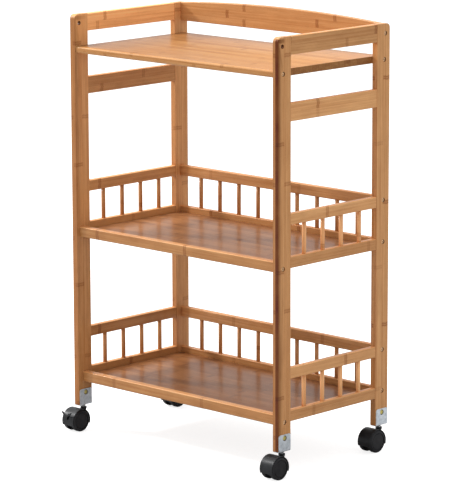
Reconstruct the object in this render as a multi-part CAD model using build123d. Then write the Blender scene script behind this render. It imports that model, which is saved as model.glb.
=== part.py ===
"""Three-tier bamboo rolling cart on four twin-wheel swivel casters.

Millimetres. X runs left to right, Y front to back, Z up from the floor. The origin is on the
floor at the centre of the whole footprint, so the frame's own centre line lies a little behind it.
Every piece that is separate on the bench is written as its own STEP file.
"""
import os
from math import sqrt

from build123d import *

# ---------------------------------------------------------------- driving dimensions
width = 528.3  # across the outer faces of the posts
depth = 299.7  # front face of the front posts to back face of the rear posts
height = 797.6  # floor to the top of the posts

post_t = 12.0  # post, across the cart
post_w = 34.0  # post, front to back
post_foot = 49.5  # underside of the posts
post_corner = 9.0  # rounded outer top corner of each post
edge_r = 2.0  # eased long edges of the bamboo

rail_t = 11.0  # thickness of the side frame rails
small_rail_h = 21.0  # basket rails of the side frames
tall_rail_h = 33.3  # top rail and cross rail of the side frames
cross_rail_foot = 645.6  # underside of the side cross rails

shelf_t = 13.0  # top shelf
shelf_top = 738.5
shelf_front_set = 1.9  # front edge behind the post faces
shelf_back_set = 8.8
panel_t = 8.0  # middle and bottom shelf panels
panel_rise = 5.3  # underside of a panel above the underside of its front rail
groove = 4.0  # depth that a panel's tongue enters a rail
shelf_nose_r = 4.5  # rounded front edge of the top shelf

front_rail_h = 20.0
front_rail_t = 15.0
front_rail_edge_r = 3.0
tiers = {"middle": 375.2, "bottom": 94.3}  # underside of each front rail
front_rail_set = {"middle": 7.4, "bottom": 11.4}  # front rail behind the post faces

side_lower_rise = 6.1  # side basket rails above the underside of the front rail
side_upper_rise = 84.5
back_lower_rise = 4.4
back_upper_rise = 84.4
back_rail_h = 20.5
back_rail_t = 12.0
back_rail_y = 134.5  # centre of the back rails, from the frame's centre line

board_t = 11.0  # arched board across the back
board_y = 138.0
board_foot = 762.0
board_crown = 9.2  # rise of its arched top edge above the posts

spindle_r = 4.0
spindle_seat = 6.0  # length of a spindle inside each rail
side_spindles = 4
side_pitch = 49.5
back_spindles = 9
back_pitch = 50.4

dowel_r = 3.0
dowel_half = 12.0  # half the length of a side frame dowel
tall_rail_levels = (0.27, 0.73)  # two dowels in each end of a tall rail, as parts of its height
small_rail_levels = (0.5,)
cross_dowel_post = 7.0  # part of a cross dowel that sits in the post
cross_dowel_rail = 15.0
board_dowel_rise = 8.0  # cross dowels above the underside of their rail or board
front_dowel_rise = 15.0
upper_dowel_rise = 5.5
lower_dowel_rise = 6.0
front_dowel_set = 6.0  # behind the front face of the front rail
upper_dowel_set = 0.6  # behind the middle of the back rail
lower_dowel_set = 1.6

screw_head_r = 3.6
screw_head_h = 2.6
screw_shank_r = 2.0
screw_length = 40.0
screw_key = 3.0  # across the flats of the hexagon socket
screw_key_deep = 1.6
shelf_screw_y = {"front": -135.5, "rear": 135.3}  # from the frame's centre line
board_screw_z = 779.7
front_screw_rise = 7.6  # above the underside of the front rail
front_screw_set = 7.0  # behind its front face
upper_screw_rise = 13.0  # above the underside of the upper back rail
lower_screw_rise = 15.0
spare_hole_r = 2.8  # open hole in the front posts, which are the same blanks as the rear ones
spare_hole_z = 781.0

plate = 1.5  # caster bracket sheet
bracket_w = 31.0
bracket_top = 80.0
bracket_corner = 4.0
bracket_screw_z = 72.9
bracket_screw_r = 4.2  # countersunk head
bracket_screw_head_h = 2.2
bracket_screw_shank_r = 1.6
bracket_screw_l = 5.6  # part of the shank that sits in the post
cross_long, cross_wide, cross_deep = 4.6, 0.9, 1.0  # cross recess
seat_mouth_r, seat_foot_r = 5.4, 2.7  # countersink in the flange

stem_r = 3.0
stem_foot = 30.0
collar_r = 5.6
collar_foot_r = 3.6
collar_h = 1.8

wheel_r = 21.0
wheel_in = 6.6  # inner and outer faces of a wheel, from the middle of the caster
wheel_out = 16.0
tread_ease = 0.8  # eased edges of the tread
rim_low, rim_high = 4.2, 2.6  # flat of the rim, below the tread
dish = 0.7  # outer face of the disc inside the rim
hood_r = 23.0
hood_gap = 0.6  # between tread and hood
hood_half = 15.2
hood_edge = 8.6  # lower edge of the hood below the axle
hood_tilt = 6.0  # the lower edge rises towards the front
web_half = 6.2
web_r = 17.0
trail = 19.5  # axle ahead of the swivel stem
boss_top = 42.0
axle_r = 2.5
axle_half = 13.5
run = 0.05  # radial running clearance

pedal_reach = 26.5  # tip of the brake pedal ahead of the axle
pedal_half = 12.0
pedal_rise = 6.6  # tips of the pedal above its middle
pedal_half_t = 1.3
pedal_foot = 12.4  # underside of the pedal's middle above the axle
pedal_deep = 4.2
pivot_y, pivot_z = -11.5, 9.0  # brake pivot from the axle
pin_r = 1.6
pin_half = 5.0
lever_boss_r = 3.4
lever_half = 2.0
arm_end_y, arm_end_z = -24.6, 13.2
arm_t = 3.4
arm_tilt = -18.0
slot_half = 2.4  # slot in the hood's front for the brake arm
slot_foot, slot_top, slot_back = 3.5, 14.5, -6.5
beyond = 30.0  # reach of the cutting tools, past anything on a caster

# ---------------------------------------------------------------- derived places
post_x = width / 2 - post_t / 2
post_y = depth / 2 - post_w / 2
inner_x = width / 2 - post_t  # inner faces of the posts
rail_len = depth - 2 * post_w
front_reach = post_y + trail + pedal_reach
centre_y = (front_reach - depth / 2) / 2  # frame's centre line behind the origin
sides = {"left": -1, "right": 1}
ends = {"front": -1, "rear": 1}


# ---------------------------------------------------------------- helpers
def block(x, y, z):
    """A box between the two limits given on each axis, in frame coordinates."""
    size = [high - low for low, high in (x, y, z)]
    middle = [(low + high) / 2 for low, high in (x, y, z)]
    return Pos(middle[0], middle[1] + centre_y, middle[2]) * Box(*size)


def eased(solid, axis, radius=edge_r):
    """The bar with the edges along one axis rounded."""
    return fillet(solid.edges().filter_by(axis), radius)


def rod(radius, start, end):
    """A round rod between two points, in frame coordinates."""
    a = Vector(start[0], start[1] + centre_y, start[2])
    b = Vector(end[0], end[1] + centre_y, end[2])
    plane = Plane(origin=a, z_dir=(b - a).normalized())
    return Solid.make_cylinder(radius, (b - a).length, plane)


def cut(solid, tools):
    """The solid with each of the tools taken out of it."""
    for tool in tools:
        solid = solid - tool
    return solid


def save(name, solids):
    """Write one node, made of one solid or of several separate ones."""
    solids = solids if isinstance(solids, list) else [solids]
    shapes = [s for item in solids for s in item.solids()]
    shape = shapes[0] if len(shapes) == 1 else Compound(children=shapes)
    shape.label = name
    export_step(shape, f"parts/{name}.step")


# ---------------------------------------------------------------- rails of the two side frames
def side_rails():
    """Name, underside and height of the six rails of one side frame."""
    rows = [("top_rail", height - tall_rail_h, tall_rail_h)]
    rows.append(("cross_rail", cross_rail_foot, tall_rail_h))
    for tier, foot in tiers.items():
        rows.append((f"{tier}_lower_rail", foot + side_lower_rise, small_rail_h))
        rows.append((f"{tier}_upper_rail", foot + side_upper_rise, small_rail_h))
    return rows


def side_dowels(side):
    """Dowels between the rails and posts of one side frame, grouped by post end."""
    found = {}
    for end, way in ends.items():
        rods = []
        for _, foot, tall in side_rails():
            levels = tall_rail_levels if tall == tall_rail_h else small_rail_levels
            for level in levels:
                z = foot + tall * level
                y = way * rail_len / 2
                start = (side * post_x, y - dowel_half, z)
                rods.append(rod(dowel_r, start, (side * post_x, y + dowel_half, z)))
        found[end] = rods
    return found


def side_spindle_rods(side, tier):
    """The round spindles between the two basket rails of a side frame."""
    low = tiers[tier] + side_lower_rise + small_rail_h - spindle_seat
    high = tiers[tier] + side_upper_rise + spindle_seat
    rods = []
    for i in range(side_spindles):
        y = (i - (side_spindles - 1) / 2) * side_pitch
        rods.append(rod(spindle_r, (side * post_x, y, low), (side * post_x, y, high)))
    return rods


def back_spindle_rods(tier):
    """The round spindles between the two back rails of a basket."""
    low = tiers[tier] + back_lower_rise + back_rail_h - spindle_seat
    high = tiers[tier] + back_upper_rise + spindle_seat
    rods = []
    for i in range(back_spindles):
        x = (i - (back_spindles - 1) / 2) * back_pitch
        rods.append(rod(spindle_r, (x, back_rail_y, low), (x, back_rail_y, high)))
    return rods


# ---------------------------------------------------------------- screws through the posts
def screw_places():
    """Height and depth of each screw through a post, for the front and the rear posts."""
    front = [(shelf_top - shelf_t / 2, shelf_screw_y["front"])]
    rear = [(shelf_top - shelf_t / 2, shelf_screw_y["rear"]), (board_screw_z, board_y)]
    for tier, foot in tiers.items():
        front.append((foot + front_screw_rise, -depth / 2 + front_rail_set[tier] + front_screw_set))
        rear.append((foot + back_upper_rise + upper_screw_rise, back_rail_y))
        rear.append((foot + back_lower_rise + lower_screw_rise, back_rail_y))
    return {"front": front, "rear": rear}


def cross_dowels(side):
    """Dowels that stop the shelf rails turning on their screws, grouped by post end."""
    front = []
    rear = [(board_foot + board_dowel_rise, board_y)]
    for tier, foot in tiers.items():
        front.append((foot + front_dowel_rise, -depth / 2 + front_rail_set[tier] + front_dowel_set))
        rear.append((foot + back_upper_rise + upper_dowel_rise, back_rail_y + upper_dowel_set))
        rear.append((foot + back_lower_rise + lower_dowel_rise, back_rail_y + lower_dowel_set))
    found = {}
    for end, places in (("front", front), ("rear", rear)):
        found[end] = [
            rod(
                dowel_r,
                (side * (inner_x + cross_dowel_post), y, z),
                (side * (inner_x - cross_dowel_rail), y, z),
            )
            for z, y in places
        ]
    return found


def frame_screw(side, z, y, socket=True):
    """A countersunk screw, driven from the outer face of a post towards the middle of the cart."""
    face = side * width / 2
    plane = Plane(origin=(face, y + centre_y, z), z_dir=(-side, 0, 0))
    head = Solid.make_cone(screw_head_r, screw_shank_r, screw_head_h, plane)
    screw = head + Solid.make_cylinder(screw_shank_r, screw_length, plane)
    if socket:
        key = extrude(RegularPolygon(screw_key / 2, 6, major_radius=False), screw_key_deep)
        screw = screw - plane * key
    return screw


def bracket_screw(side, z, end, inner, cross=True):
    """A countersunk screw through one flange of a caster bracket into the post."""
    face = side * (post_x + (-1 if inner else 1) * (post_t / 2 + plate))
    way = side if inner else -side
    plane = Plane(origin=(face, end * post_y + centre_y, z), z_dir=(way, 0, 0))
    head = Solid.make_cone(bracket_screw_r, bracket_screw_shank_r, bracket_screw_head_h, plane)
    screw = head + Solid.make_cylinder(bracket_screw_shank_r, bracket_screw_l + plate, plane)
    if cross:
        for turn in (0, 90):
            screw = screw - plane * Rot(Z=turn) * Box(cross_long, cross_wide, 2 * cross_deep)
    return screw


def bracket_screw_seat(side, end, inner):
    """The room that a bracket screw and its countersink take."""
    face = side * (post_x + (-1 if inner else 1) * (post_t / 2 + plate))
    way = side if inner else -side
    plane = Plane(origin=(face, end * post_y + centre_y, bracket_screw_z), z_dir=(way, 0, 0))
    return Solid.make_cone(seat_mouth_r, seat_foot_r, plate, plane)


# ---------------------------------------------------------------- posts and side frames
def post(side, end):
    """A post: a flat board on edge, its outer top corner rounded."""
    y = (end * post_y - post_w / 2, end * post_y + post_w / 2)
    x = (side * post_x - post_t / 2, side * post_x + post_t / 2)
    solid = block(x, y, (post_foot, height))
    corners = solid.edges().filter_by(Axis.X).group_by(Axis.Z)[-1].sort_by(Axis.Y)
    solid = fillet([corners[-1] if end > 0 else corners[0]], post_corner)
    rim = [e for e in solid.edges() if e.center().Z > post_foot + 1 and not is_across(e)]
    return fillet(rim, edge_r)


def is_across(edge):
    """True for a straight edge that runs across the cart."""
    box = edge.bounding_box().size
    return box.X > 1


def side_rail(side, foot, tall):
    """A rail between the two posts of one side frame."""
    x = (side * post_x - rail_t / 2, side * post_x + rail_t / 2)
    return eased(block(x, (-rail_len / 2, rail_len / 2), (foot, foot + tall)), Axis.Y)


def build_side_frames():
    screws = []
    bracket_screws = []
    dowels = []
    places = screw_places()
    for label, side in sides.items():
        rail_dowels = side_dowels(side)
        shelf_dowels = cross_dowels(side)
        for end_label, end in ends.items():
            solid = post(side, end)
            set_screws = [frame_screw(side, z, y) for z, y in places[end_label]]
            room = [frame_screw(side, z, y, socket=False) for z, y in places[end_label]]
            if end < 0:
                inside = (side * (inner_x - 1), -board_y, spare_hole_z)
                room.append(rod(spare_hole_r, inside, (side * width, -board_y, spare_hole_z)))
            for inner in (False, True):
                bracket_screws.append(bracket_screw(side, bracket_screw_z, end, inner))
                room.append(bracket_screw(side, bracket_screw_z, end, inner, cross=False))
            solid = cut(solid, room + rail_dowels[end_label] + shelf_dowels[end_label])
            save(f"{end_label}_{label}_post", solid)
            screws += set_screws
            dowels += rail_dowels[end_label] + shelf_dowels[end_label]
        for name, foot, tall in side_rails():
            solid = side_rail(side, foot, tall)
            taken = [d for end_label in ends for d in rail_dowels[end_label]]
            for tier in tiers:
                if name.startswith(tier):
                    taken += side_spindle_rods(side, tier)
            save(f"{label}_{name}", cut(solid, touching(taken, solid)))
        for tier in tiers:
            save(f"{label}_{tier}_spindles", side_spindle_rods(side, tier))
    save("frame_screws", screws)
    save("bracket_screws", bracket_screws)
    save("joint_dowels", dowels)


def touching(tools, solid):
    """The tools whose boxes meet the solid's box."""
    box = solid.bounding_box()
    near = []
    for tool in tools:
        other = tool.bounding_box()
        above = any(getattr(other.min, axis) > getattr(box.max, axis) for axis in "XYZ")
        below = any(getattr(other.max, axis) < getattr(box.min, axis) for axis in "XYZ")
        if not above and not below:
            near.append(tool)
    return near


# ---------------------------------------------------------------- back rails, shelves and fronts
def all_cross_tools():
    """Screws and dowels that enter the ends of the shelves, back rails and front rails."""
    tools = []
    for side in sides.values():
        for end_label, places in screw_places().items():
            tools += [frame_screw(side, z, y, socket=False) for z, y in places]
            tools += cross_dowels(side)[end_label]
    return tools


def shelf_panel(tier):
    """A laminated panel whose front and back edges are tongues in the rails."""
    foot = tiers[tier] + panel_rise
    front = -depth / 2 + front_rail_set[tier] + front_rail_t - groove
    back = back_rail_y - back_rail_t / 2 + groove
    return block((-inner_x, inner_x), (front, back), (foot, foot + panel_t))


def build_cross_pieces():
    tools = all_cross_tools()
    for tier, foot in tiers.items():
        panel = shelf_panel(tier)
        save(f"{tier}_shelf", panel)
        front = -depth / 2 + front_rail_set[tier]
        rail = block((-inner_x, inner_x), (front, front + front_rail_t), (foot, foot + front_rail_h))
        rail = eased(rail, Axis.X, front_rail_edge_r) - panel
        save(f"{tier}_front_rail", cut(rail, touching(tools, rail)))
        spindles = back_spindle_rods(tier)
        save(f"back_{tier}_spindles", spindles)
        y = (back_rail_y - back_rail_t / 2, back_rail_y + back_rail_t / 2)
        for name, rise in (("lower", back_lower_rise), ("upper", back_upper_rise)):
            rail = block((-inner_x, inner_x), y, (foot + rise, foot + rise + back_rail_h))
            rail = eased(rail, Axis.X) - panel
            save(f"back_{tier}_{name}_rail", cut(rail, touching(tools + spindles, rail)))
    y = (-depth / 2 + shelf_front_set, depth / 2 - shelf_back_set)
    shelf = block((-inner_x, inner_x), y, (shelf_top - shelf_t, shelf_top))
    front_edges = shelf.edges().filter_by(Axis.X).sort_by(Axis.Y)[:2]
    shelf = fillet(front_edges, shelf_nose_r)
    shelf = fillet(shelf.edges().filter_by(Axis.X).sort_by(Axis.Y)[-2:], edge_r)
    save("top_shelf", cut(shelf, touching(tools, shelf)))
    save("back_top_board", cut(back_board(), touching(tools, back_board())))


def back_board():
    """The arched board that closes the back of the top shelf."""
    left_top, right_top = (-inner_x, height), (inner_x, height)
    outline = Polyline(right_top, (inner_x, board_foot), (-inner_x, board_foot), left_top)
    arch = ThreePointArc(left_top, (0, height + board_crown), right_top)
    face = make_face([outline, arch])
    plane = Plane(origin=(0, board_y - board_t / 2 + centre_y, 0), x_dir=(1, 0, 0), z_dir=(0, -1, 0))
    board = extrude(plane * face, -board_t)
    rims = [e for e in board.edges() if abs(e.center().X) < 1]
    return fillet(rims, edge_r)


# ---------------------------------------------------------------- casters
def bracket(side, end):
    """A U of zinc plated sheet that holds the foot of a post, with the stem riveted in its base."""
    x0, y0 = side * post_x, end * post_y
    y = (y0 - bracket_w / 2, y0 + bracket_w / 2)
    x = (x0 - post_t / 2 - plate, x0 + post_t / 2 + plate)
    outer = block(x, y, (post_foot - plate, bracket_top))
    outer = fillet(outer.edges().filter_by(Axis.Y).group_by(Axis.Z)[0], plate)
    outer = fillet(outer.edges().filter_by(Axis.X).group_by(Axis.Z)[-1], bracket_corner)
    room = (x0 - post_t / 2, x0 + post_t / 2)
    inside = block(room, (y[0] - 1, y[1] + 1), (post_foot, bracket_top + 1))
    seats = [bracket_screw_seat(side, end, inner) for inner in (False, True)]
    stem_hole = rod(stem_r, (x0, y0, stem_foot), (x0, y0, bracket_top))
    return cut(outer, [inside, stem_hole] + seats)


def stem(side, end):
    """The steel swivel stem with the collar that it is riveted against."""
    x0, y0 = side * post_x, end * post_y
    shank = rod(stem_r, (x0, y0, stem_foot), (x0, y0, post_foot))
    plane = Plane(origin=(x0, y0 + centre_y, post_foot - plate), z_dir=(0, 0, -1))
    return shank + Solid.make_cone(collar_r, collar_foot_r, collar_h, plane)


def disc(radius, low, high):
    """A disc about the axle, between two places along it."""
    return Solid.make_cylinder(radius, high - low, Plane(origin=(low, 0, 0), z_dir=(1, 0, 0)))


def hood(braked):
    """Caster body about its axle: hood over both wheels, web between them and boss for the stem."""
    inner_r = wheel_r + hood_gap
    shell = disc(hood_r, -hood_half, hood_half) - disc(inner_r, -hood_half - 1, hood_half + 1)
    opening = Rot(X=hood_tilt) * Pos(0, 0, -hood_edge - beyond) * Box(2 * beyond, 3 * beyond, 2 * beyond)
    shell = shell - opening
    web = disc((inner_r + hood_r) / 2, -web_half, web_half) - opening
    body = shell + web + disc(web_r, -web_half, web_half)
    rise = boss_top - wheel_r
    body = body + Pos(0, trail, rise / 2 + 2) * Cylinder(web_half, rise - 4)
    body = body - Pos(0, trail, rise) * Cylinder(stem_r + run, 2 * (boss_top - stem_foot + 0.5))
    body = body - disc(axle_r, -beyond, beyond)
    if braked:
        length = beyond + slot_back
        slot = Box(2 * slot_half, length, slot_top - slot_foot)
        body = body - Pos(0, slot_back - length / 2, (slot_foot + slot_top) / 2) * slot
        body = body - rod_across(pin_r + run, pin_half + 0.2)
    return body


def rod_across(radius, half):
    """A rod along the brake pivot, in caster coordinates."""
    plane = Plane(origin=(-half, pivot_y, pivot_z), z_dir=(1, 0, 0))
    return Solid.make_cylinder(radius, 2 * half, plane)


def wheel(way):
    """One moulded wheel of a twin caster, with a dished outer face and a blind bore."""
    bore = axle_r + run
    bore_end = axle_half + 0.5
    profile = [
        (wheel_in, bore),
        (wheel_in, wheel_r - tread_ease),
        (wheel_in + tread_ease, wheel_r),
        (wheel_out - rim_high + tread_ease / 2, wheel_r),
        (wheel_out - tread_ease, wheel_r - tread_ease),
        (wheel_out, wheel_r - rim_high),
        (wheel_out, wheel_r - rim_low),
        (wheel_out - dish, wheel_r - rim_low - dish),
        (wheel_out - dish, 0),
        (bore_end, 0),
        (bore_end, bore),
    ]
    face = make_face(Polyline(*profile, close=True))
    solid = revolve(face, Axis.X)
    return solid if way > 0 else solid.mirror(Plane.YZ)


def brake_lever():
    """Brake lever about the axle: pivot pin, arm through the hood's slot and a winged pedal."""
    length = sqrt((arm_end_y - pivot_y) ** 2 + (arm_end_z - pivot_z) ** 2)
    arm = Pos(0, -length / 2, 0) * Box(2 * lever_half, length, arm_t)
    arm = Pos(0, pivot_y, pivot_z) * Rot(X=arm_tilt) * arm
    radius = (pedal_half**2 + pedal_rise**2) / (2 * pedal_rise)
    ring = Circle(radius + pedal_half_t) - Circle(radius - pedal_half_t)
    window = Pos(0, pedal_rise / 2) * Rectangle(2 * pedal_half, pedal_rise)
    band = Pos(0, radius + pedal_half_t) * ring & window
    plane = Plane(origin=(0, -pedal_reach, pedal_foot), x_dir=(1, 0, 0), z_dir=(0, -1, 0))
    pedal = extrude(plane * band, -pedal_deep)
    return rod_across(lever_boss_r, lever_half) + rod_across(pin_r, pin_half) + arm + pedal


def build_casters():
    stems = []
    for end_label, end in ends.items():
        for label, side in sides.items():
            name = f"{end_label}_{label}"
            place = Pos(side * post_x, end * post_y - trail + centre_y, wheel_r)
            braked = side < 0
            save(f"{name}_bracket", bracket(side, end))
            stems.append(stem(side, end))
            save(f"{name}_hood", place * hood(braked))
            save(f"{name}_axle", place * disc(axle_r, -axle_half, axle_half))
            save(f"{name}_left_wheel", place * wheel(-1))
            save(f"{name}_right_wheel", place * wheel(1))
            if braked:
                save(f"{name}_brake_lever", place * brake_lever())
    save("swivel_stems", stems)


os.makedirs("parts", exist_ok=True)
build_side_frames()
build_cross_pieces()
build_casters()
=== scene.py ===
from math import atan2, cos, pi, radians, sin, tau

import bmesh
import bpy
import numpy as np
from mathutils import Matrix, Vector


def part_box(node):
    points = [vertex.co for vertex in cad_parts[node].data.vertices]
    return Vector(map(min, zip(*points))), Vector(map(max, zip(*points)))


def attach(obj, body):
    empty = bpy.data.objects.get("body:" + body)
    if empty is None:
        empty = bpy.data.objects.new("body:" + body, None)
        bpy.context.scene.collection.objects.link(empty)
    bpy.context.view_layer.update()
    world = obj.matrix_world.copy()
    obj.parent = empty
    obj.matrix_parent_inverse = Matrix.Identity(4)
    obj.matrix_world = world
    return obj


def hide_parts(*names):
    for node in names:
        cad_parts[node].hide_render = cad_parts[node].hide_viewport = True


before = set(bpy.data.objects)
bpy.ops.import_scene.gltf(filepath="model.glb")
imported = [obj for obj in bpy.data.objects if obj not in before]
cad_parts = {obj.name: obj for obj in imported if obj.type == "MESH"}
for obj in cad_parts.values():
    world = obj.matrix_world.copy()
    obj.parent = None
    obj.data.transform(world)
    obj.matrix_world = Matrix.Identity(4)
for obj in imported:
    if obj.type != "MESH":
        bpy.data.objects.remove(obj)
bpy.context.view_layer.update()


# ---------------------------------------------------------------------------- posts
# Four posts of laminated bamboo board, 12 by 34 mm, set on edge so that each side frame is as thin
# as one board. The outer top corner is rounded over, the long edges are eased on a router and the
# whole post is lacquered. Screws are driven in from the outer face until their heads lie below it.
EASE = 0.002  # radius of an eased long edge
SAWN = 0.0004  # a cut end only has its sharpness sanded off
BORE_SHADE_AND_BARE_WOOD = -0.66  # the wall of a screw hole is made this much darker: painted shade in the hole, and its bare wood
STRIP = 0.017  # width of one bamboo strip
FACING_ANGLE = radians(35)  # sharper edges than this are shaded sharp
NODE_SPACING = 0.23  # between the nodes along one strip
NODE_LINE = 0.0024  # from the middle of a node to each of its two dark lines
LINE_EDGE = (0.0003, 0.0012)  # a line fades out between these
BAND_EDGE = (0.0018, 0.0055)  # and so does the browner band
SEAM_EDGE = (0.008, 0.03)  # and a glue line, in widths of a strip
TONE_SHARES = (1.0, 1.2, 1.45)  # of a tone in red, green and blue, so that a darker tone, painted shade included, is also redder


def calc(tree, operation, *values):
    """A Math node on sockets or numbers, as its result."""
    return node(tree, "Math", dict(enumerate(values)), operation=operation).outputs[0]


def step_node(tree, kind, inputs={}, **settings):
    """A node with its settings, and its inputs linked or set."""
    made = tree.nodes.new(kind)
    for key, value in settings.items():
        setattr(made, key, value)
    for key, value in inputs.items():
        if isinstance(value, bpy.types.NodeSocket):
            tree.links.new(value, made.inputs[key])
        else:
            made.inputs[key].default_value = value
    return made


def node(tree, kind, inputs={}, **settings):
    """A node that shader trees have, by the rest of its name."""
    return step_node(tree, "ShaderNode" + kind, inputs, **settings)


def tinted(tree, factor, one, two, way="MIX"):
    """Two colours mixed by a factor."""
    mix = node(tree, "Mix", {0: factor, 6: one, 7: two}, data_type="RGBA", blend_type=way)
    return mix.outputs[2]


def ramp(tree, value, low, high, start=0.0, stop=1.0):
    """A value's smooth step from start to stop as it goes from low to high."""
    inputs = {0: value, 1: low, 2: high, 3: start, 4: stop}
    return node(tree, "MapRange", inputs, interpolation_type="SMOOTHSTEP").outputs[0]


def joined(tree, *values):
    """Three values as a vector."""
    return node(tree, "CombineXYZ", dict(enumerate(values))).outputs[0]


def clouds(tree, vector, scale=1.0, detail=2.0, roughness=0.5):
    """Noise between 0 and 1 at a vector."""
    inputs = {"Vector": vector, "Scale": scale, "Detail": detail, "Roughness": roughness}
    return node(tree, "TexNoise", inputs).outputs[0]


def new_group(name, inputs, outputs):
    """An empty shader node group with named sockets, as the tree and its input and output nodes."""
    tree = bpy.data.node_groups.new(name, "ShaderNodeTree")
    for way, sockets in (("INPUT", inputs), ("OUTPUT", outputs)):
        for label, kind in sockets.items():
            tree.interface.new_socket(label, in_out=way, socket_type="NodeSocket" + kind)
    return tree, tree.nodes.new("NodeGroupInput").outputs, tree.nodes.new("NodeGroupOutput").inputs


def lamination_group():
    """Strips glued side by side and in layers, read from where a point lies in them.

    Grain is the place along the fibres in metres, across in strips and through in layers. Marks is
    where the culm's nodes fall in the even and in the odd strips, and the number of the piece. Tone
    is how much lighter or darker the even and the odd strips are, painted light and shade included.
    """
    tree, given, out = new_group(
        "Bamboo lamination",
        {"Grain": "Vector", "Marks": "Vector", "Tone": "Vector", "Light": "Color", "Dark": "Color",
         "Node Colour": "Color", "Contrast": "Float", "Node Spacing": "Float", "Scatter": "Float"},
        {"Colour": "Color", "Roughness": "Float", "Height": "Float"},
    )
    along, across, through = node(tree, "SeparateXYZ", {0: given["Grain"]}).outputs
    even, odd, piece = node(tree, "SeparateXYZ", {0: given["Marks"]}).outputs
    row = calc(tree, "FLOOR", across)
    layer = calc(tree, "FLOOR", through)
    toss = node(tree, "TexWhiteNoise", {0: joined(tree, row, layer, piece)}, noise_dimensions="3D")
    first, second, third = node(tree, "SeparateColor", {0: toss.outputs["Color"]}).outputs
    here = calc(tree, "MULTIPLY_ADD", first, 9.0, along)

    def fibres(length, width, depth, detail, roughness):
        """Noise drawn out along the fibres."""
        spot = joined(
            tree,
            calc(tree, "MULTIPLY", here, length),
            calc(tree, "MULTIPLY_ADD", across, width, calc(tree, "MULTIPLY", second, 40.0)),
            calc(tree, "MULTIPLY", through, depth),
        )
        return clouds(tree, spot, 1.0, detail, roughness)

    streak = fibres(4.0, 4.5, 2.0, 2.0, 0.5)
    fine = fibres(13.0, 34.0, 9.0, 3.0, 0.6)
    bundle = ramp(tree, fibres(70.0, 60.0, 18.0, 1.0, 0.4), 0.60, 0.72)

    # a node crosses one strip as two dark lines with a browner band between them
    parity = calc(tree, "FLOORED_MODULO", calc(tree, "ADD", row, layer), 2.0)
    mark = node(tree, "Mix", {0: parity, 2: even, 3: odd}).outputs[0]
    mark = calc(tree, "MULTIPLY_ADD", second, given["Scatter"], mark)
    bow = clouds(tree, joined(tree, calc(tree, "MULTIPLY", across, 2.2), layer, piece), 1.0, 1.0)
    bent = calc(tree, "MULTIPLY_ADD", bow, 0.005, -0.0025)
    half = calc(tree, "MULTIPLY", given["Node Spacing"], 0.5)
    off = calc(tree, "ADD", calc(tree, "SUBTRACT", along, mark), bent)
    away = calc(tree, "ABSOLUTE", calc(tree, "WRAP", off, half, calc(tree, "MULTIPLY", half, -1.0)))
    beside = calc(tree, "ABSOLUTE", calc(tree, "SUBTRACT", away, NODE_LINE))
    line = ramp(tree, beside, *LINE_EDGE, 1.0, 0.0)
    band = ramp(tree, away, *BAND_EDGE, 1.0, 0.0)
    worn = calc(tree, "MULTIPLY_ADD", line, 0.5, calc(tree, "MULTIPLY", band, 0.6))
    knot = calc(tree, "MULTIPLY", worn, calc(tree, "MULTIPLY_ADD", third, 0.62, 0.2))

    side = calc(tree, "PINGPONG", across, 0.5)
    seam = ramp(tree, side, *SEAM_EDGE, 1.0, 0.0)

    level = calc(tree, "MULTIPLY_ADD", calc(tree, "SUBTRACT", second, 0.5), given["Contrast"], 0.5)
    level = calc(tree, "MULTIPLY_ADD", calc(tree, "SUBTRACT", streak, 0.5), 1.5, level)
    level = calc(tree, "MULTIPLY_ADD", calc(tree, "SUBTRACT", fine, 0.5), 1.1, level)
    level = calc(tree, "MULTIPLY_ADD", bundle, -0.35, level)
    level = calc(tree, "MULTIPLY_ADD", seam, -0.4, level)
    colour = tinted(tree, level, given["Dark"], given["Light"])
    colour = tinted(tree, knot, colour, given["Node Colour"])
    # patches of each strip are lighter or darker
    even_tone, odd_tone, _ = node(tree, "SeparateXYZ", {0: given["Tone"]}).outputs
    tone = node(tree, "Mix", {0: parity, 2: even_tone, 3: odd_tone}).outputs[0]
    patch = clouds(tree, joined(tree, calc(tree, "MULTIPLY", here, 16.0), across, layer), 1.0, 3.0, 0.6)
    tone = calc(tree, "MULTIPLY_ADD", calc(tree, "SUBTRACT", patch, 0.5), 0.5, tone)
    gains = []
    for share in TONE_SHARES:
        gains.append(calc(tree, "MAXIMUM", calc(tree, "MULTIPLY_ADD", tone, share, 1.0), 0.05))
    colour = tinted(tree, 1.0, colour, joined(tree, *gains), "MULTIPLY")
    tree.links.new(colour, out["Colour"])
    tree.links.new(calc(tree, "MULTIPLY_ADD", fine, 0.12, 0.27), out["Roughness"])
    raised = calc(tree, "MULTIPLY_ADD", knot, 0.15, calc(tree, "MULTIPLY", fine, 0.25))
    tree.links.new(calc(tree, "MULTIPLY_ADD", seam, -0.5, raised), out["Height"])
    return tree


lamination = lamination_group()


def srgb(red, green, blue):
    """A colour given in the 0 to 255 of a colour chart, as the linear colour a shader takes."""
    scaled = [value / 255 for value in (red, green, blue)]
    return (*[v / 12.92 if v <= 0.04045 else ((v + 0.055) / 1.055) ** 2.4 for v in scaled], 1.0)


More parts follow.
